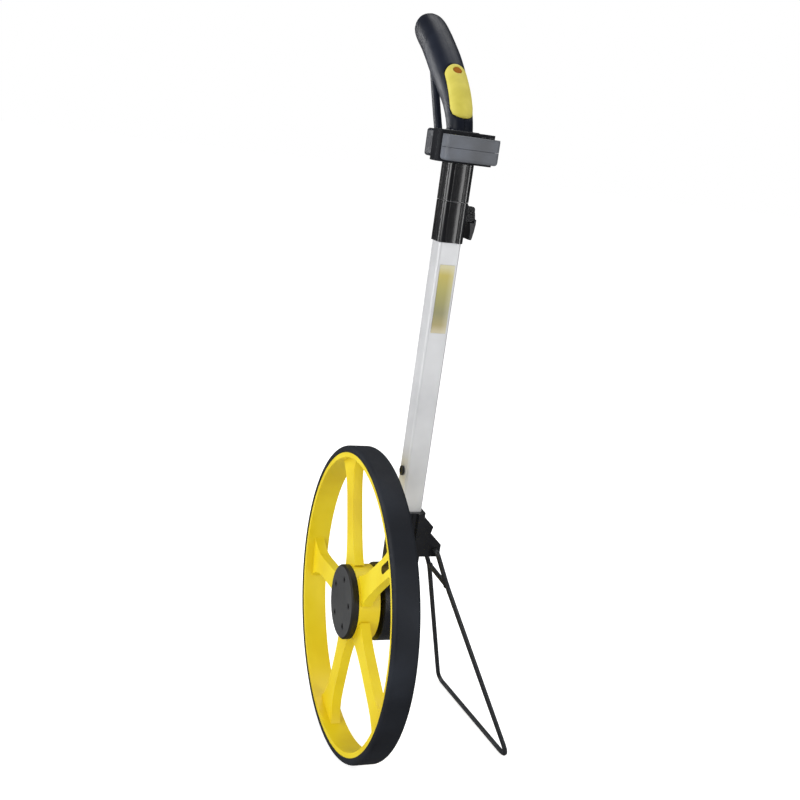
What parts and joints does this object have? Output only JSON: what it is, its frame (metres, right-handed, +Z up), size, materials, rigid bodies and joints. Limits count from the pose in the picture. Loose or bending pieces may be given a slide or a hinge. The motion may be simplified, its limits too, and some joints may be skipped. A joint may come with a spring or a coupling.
{
  "type": "measuring wheel",
  "caption": "Walk-behind distance measuring wheel with a spoked wheel, telescopic pole, display unit, closed curved handle and folding wire stand.",
  "frame": {"origin": "the point of the tread that touches the ground, straight under the axle", "axes": "+X is the rolling direction, +Y runs along the axle from the wheel to its arm and stand, +Z is up"},
  "size_m": [0.3184, 0.1877, 0.7441],
  "materials": {
    "tyre": "smooth matt tread",
    "yellow_plastic": "moulded, slightly glossy",
    "dark_plastic": "fine matt grain",
    "black_plastic": "moulded, satin",
    "grip_plastic": "moulded, satin",
    "grey_plastic": "fine grain",
    "aluminium": "drawn and anodised",
    "steel": "bright zinc",
    "dark_steel": "blackened",
    "wire": "satin black coat",
    "pad_rubber": "soft matt",
    "orange_plastic": "moulded",
    "circuit_board": "solder resist",
    "window": "clear",
    "screen": "display panel",
    "label": "printed film, left blank",
    "magnet": "sintered ferrite",
    "cell": "wrapped cell"
  },
  "bodies": {
    "frame": {"arm_inner_shell": "black_plastic", "arm_outer_shell": "black_plastic", "arm_screw_1": "steel", "arm_screw_2": "steel", "arm_screw_3": "steel", "tube_bolt": "steel", "axle": "steel", "axle_clip": "steel", "axle_washer": "steel", "axle_nut": "steel", "sensor_board": "circuit_board", "outer_tube": "aluminium", "stop_screw": "dark_steel", "label_plate": "label", "lock_collar": "black_plastic", "clamp_pad": "steel", "latch_pin": "dark_steel"},
    "wheel": {"tyre": "tyre", "wheel_moulding": "yellow_plastic", "hub_cap": "dark_plastic", "hub_cap_screw_1": "dark_steel", "hub_cap_screw_2": "dark_steel", "hub_cap_screw_3": "dark_steel", "hub_cap_screw_4": "dark_steel", "hub_cap_screw_5": "dark_steel", "bearing_front": "steel", "bearing_rear": "steel", "bearing_spacer": "steel", "magnet_ring": "magnet"},
    "handle": {"inner_tube": "aluminium", "inner_tube_plug": "black_plastic", "neck_sleeve": "black_plastic", "grip_left_shell": "grip_plastic", "grip_right_shell": "grip_plastic", "grip_screw_1": "steel", "grip_screw_2": "steel", "thumb_pad": "pad_rubber", "battery_cell_1": "cell", "battery_cell_2": "cell", "display_rear_case": "black_plastic", "display_upper_case": "grey_plastic", "display_lower_case": "grey_plastic", "display_window": "window", "display_screen": "screen", "display_board": "circuit_board"},
    "stand": {"stand_frame": "wire"},
    "latch": {"latch_lever": "black_plastic"},
    "thumb_button": {"thumb_button": "orange_plastic"},
    "battery_door": {"battery_door": "grip_plastic"},
    "key_1": {"display_key_1": "black_plastic"},
    "key_2": {"display_key_2": "black_plastic"}
  },
  "joints": [
    {"name": "wheel_spin", "type": "hinge", "parent": "frame", "child": "wheel", "pos_m": [0, 0, 0.15915], "axis": [0, 1, 0], "continuous": true},
    {"name": "stand_fold", "type": "hinge", "parent": "frame", "child": "stand", "pos_m": [0, 0.072, 0.224], "axis": [1, 0, 0], "range_deg": [0, 155]},
    {"name": "handle_extend", "type": "slide", "parent": "frame", "child": "handle", "axis": [0, 0, 1], "range_m": [0, 0.25]},
    {"name": "latch_open", "type": "hinge", "parent": "frame", "child": "latch", "pos_m": [0, 0.0612, 0.5625], "axis": [1, 0, 0], "range_deg": [0, 100]},
    {"name": "button_press", "type": "slide", "parent": "handle", "child": "thumb_button", "axis": [-0.6942, 0, -0.7198], "range_m": [0, 0.0015], "stiffness_N_per_m": 600, "springref_m": -0.001},
    {"name": "key_1_press", "type": "slide", "parent": "handle", "child": "key_1", "axis": [0, 0, -1], "range_m": [0, 0.0009], "stiffness_N_per_m": 500, "springref_m": -0.001},
    {"name": "key_2_press", "type": "slide", "parent": "handle", "child": "key_2", "axis": [0, 0, -1], "range_m": [0, 0.0009], "stiffness_N_per_m": 500, "springref_m": -0.001},
    {"name": "battery_door_open", "type": "hinge", "parent": "handle", "child": "battery_door", "pos_m": [-0.0713, 0.0443, 0.6075], "axis": [0, -1, 0], "range_deg": [0, 90]}
  ]
}
